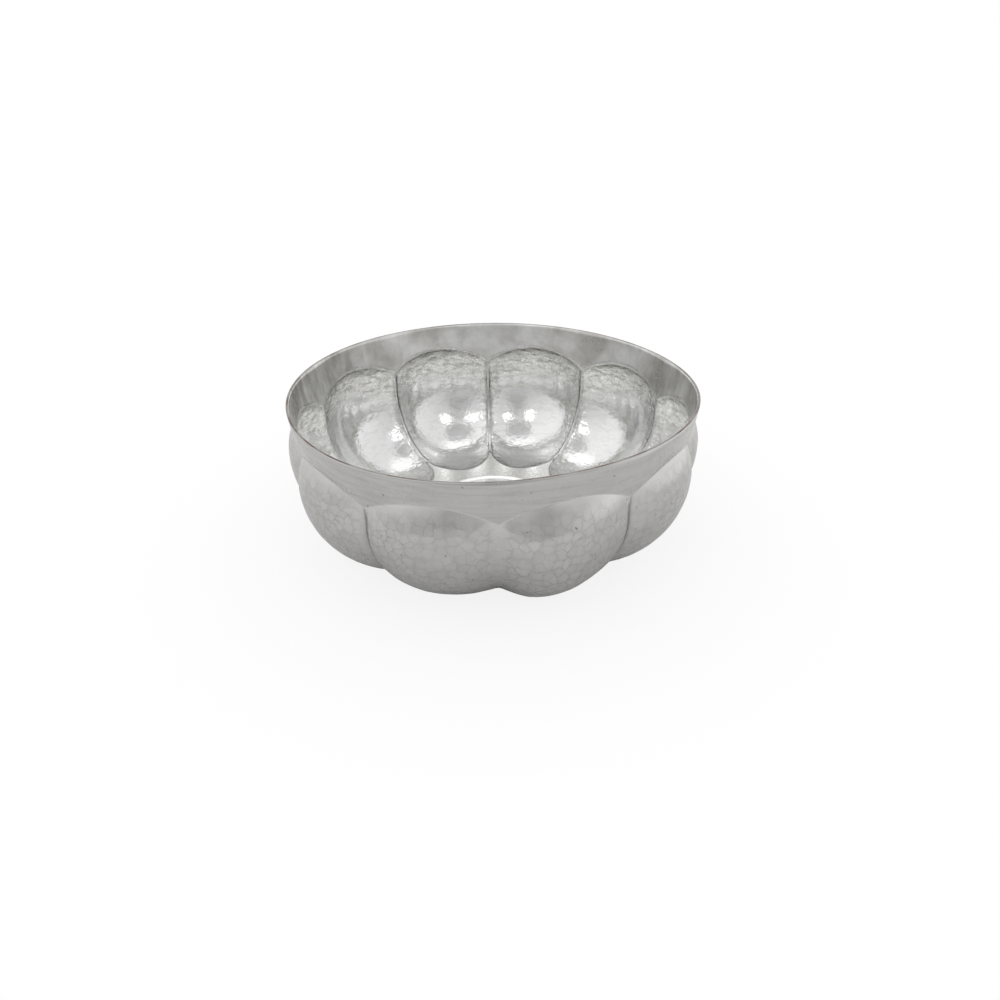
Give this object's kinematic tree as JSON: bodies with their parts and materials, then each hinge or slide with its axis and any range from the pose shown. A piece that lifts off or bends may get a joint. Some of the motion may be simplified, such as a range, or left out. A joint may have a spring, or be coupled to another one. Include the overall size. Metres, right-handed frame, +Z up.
{
  "type": "lobed bowl",
  "caption": "Round lobed bowl of raised copper sheet, tinned inside and out, with a plain flared rim band, hammered lobes and a flat floor.",
  "frame": {"origin": "on the table, under the middle of the bowl", "axes": "+Z up along the bowl's axis; -Y is the front, and runs through a groove between two lobes"},
  "size_m": [0.2026, 0.2, 0.0724],
  "materials": {
    "copper": "raised and planished copper sheet, bare only at the worn rim edge and under the lobes",
    "tin_outside": "hand-wiped tin over planished copper, satin, with hammer facets",
    "tin_inside": "hand-wiped tin, bright, finely hammered"
  },
  "bodies": {
    "root": {"copper_body": "copper", "tin_coat_outside": "tin_outside", "tin_lining_inside": "tin_inside"}
  },
  "joints": []
}
